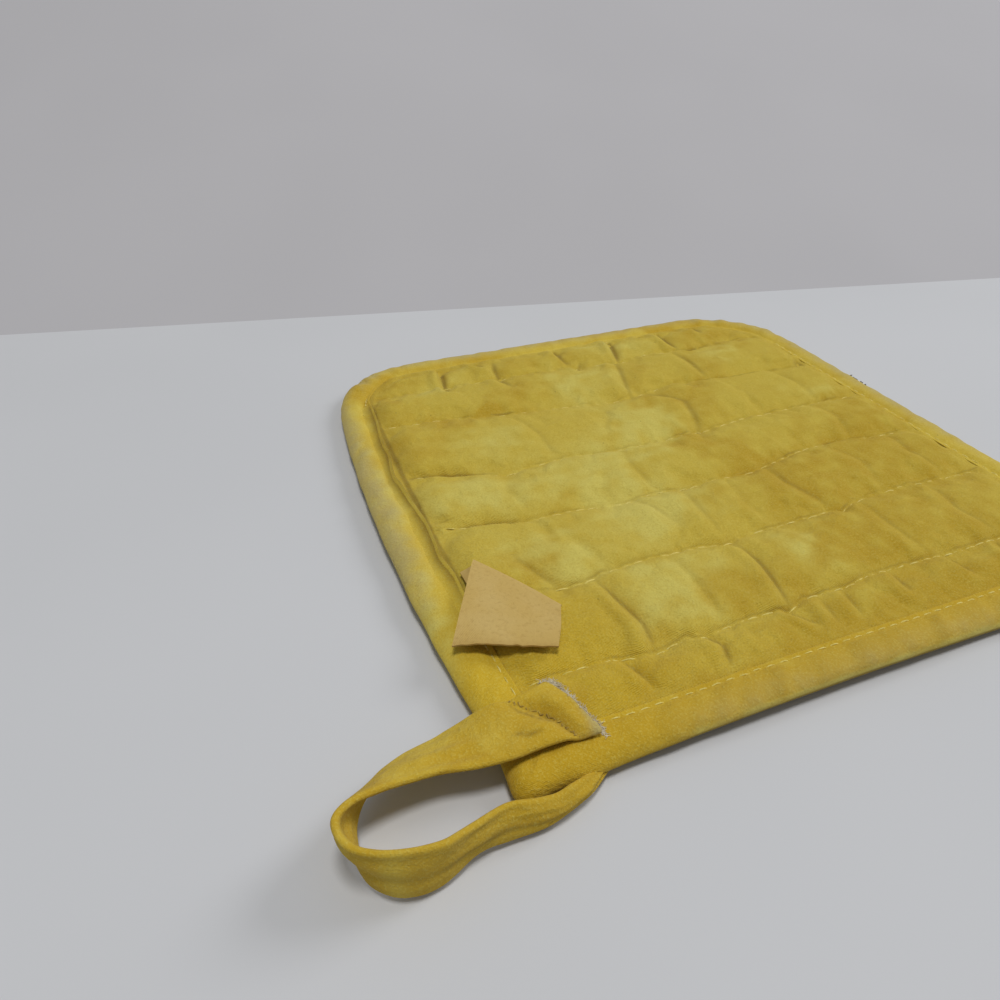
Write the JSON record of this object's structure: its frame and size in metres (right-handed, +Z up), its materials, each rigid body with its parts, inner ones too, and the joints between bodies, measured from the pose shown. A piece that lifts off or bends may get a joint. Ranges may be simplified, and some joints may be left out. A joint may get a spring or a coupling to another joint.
{
  "type": "pot holder",
  "caption": "Square channel-quilted cotton pot holder with a bound edge, a corner hanging loop of the same tape sewn down at its end, and a blank folded label.",
  "frame": {"origin": "middle of the flat underside of the pad, on the surface it lies on", "axes": "+Z up from the table, +X along the near edge away from the loop corner, +Y along the left edge away from the loop corner"},
  "size_m": [0.2042, 0.1838, 0.0124],
  "materials": {
    "quilted_cotton": "matte faded lemon and mustard plain-weave cotton, channel quilted, stained",
    "binding_cotton": "matte golden cotton bias tape, greyed along its outer edge",
    "loop_cotton": "matte golden cotton bias tape, folded double",
    "label_cotton": "matte tan cotton, blank"
  },
  "bodies": {
    "root": {"pad": "quilted_cotton", "binding": "binding_cotton", "hanging_loop": "loop_cotton", "label": "label_cotton"}
  },
  "joints": []
}
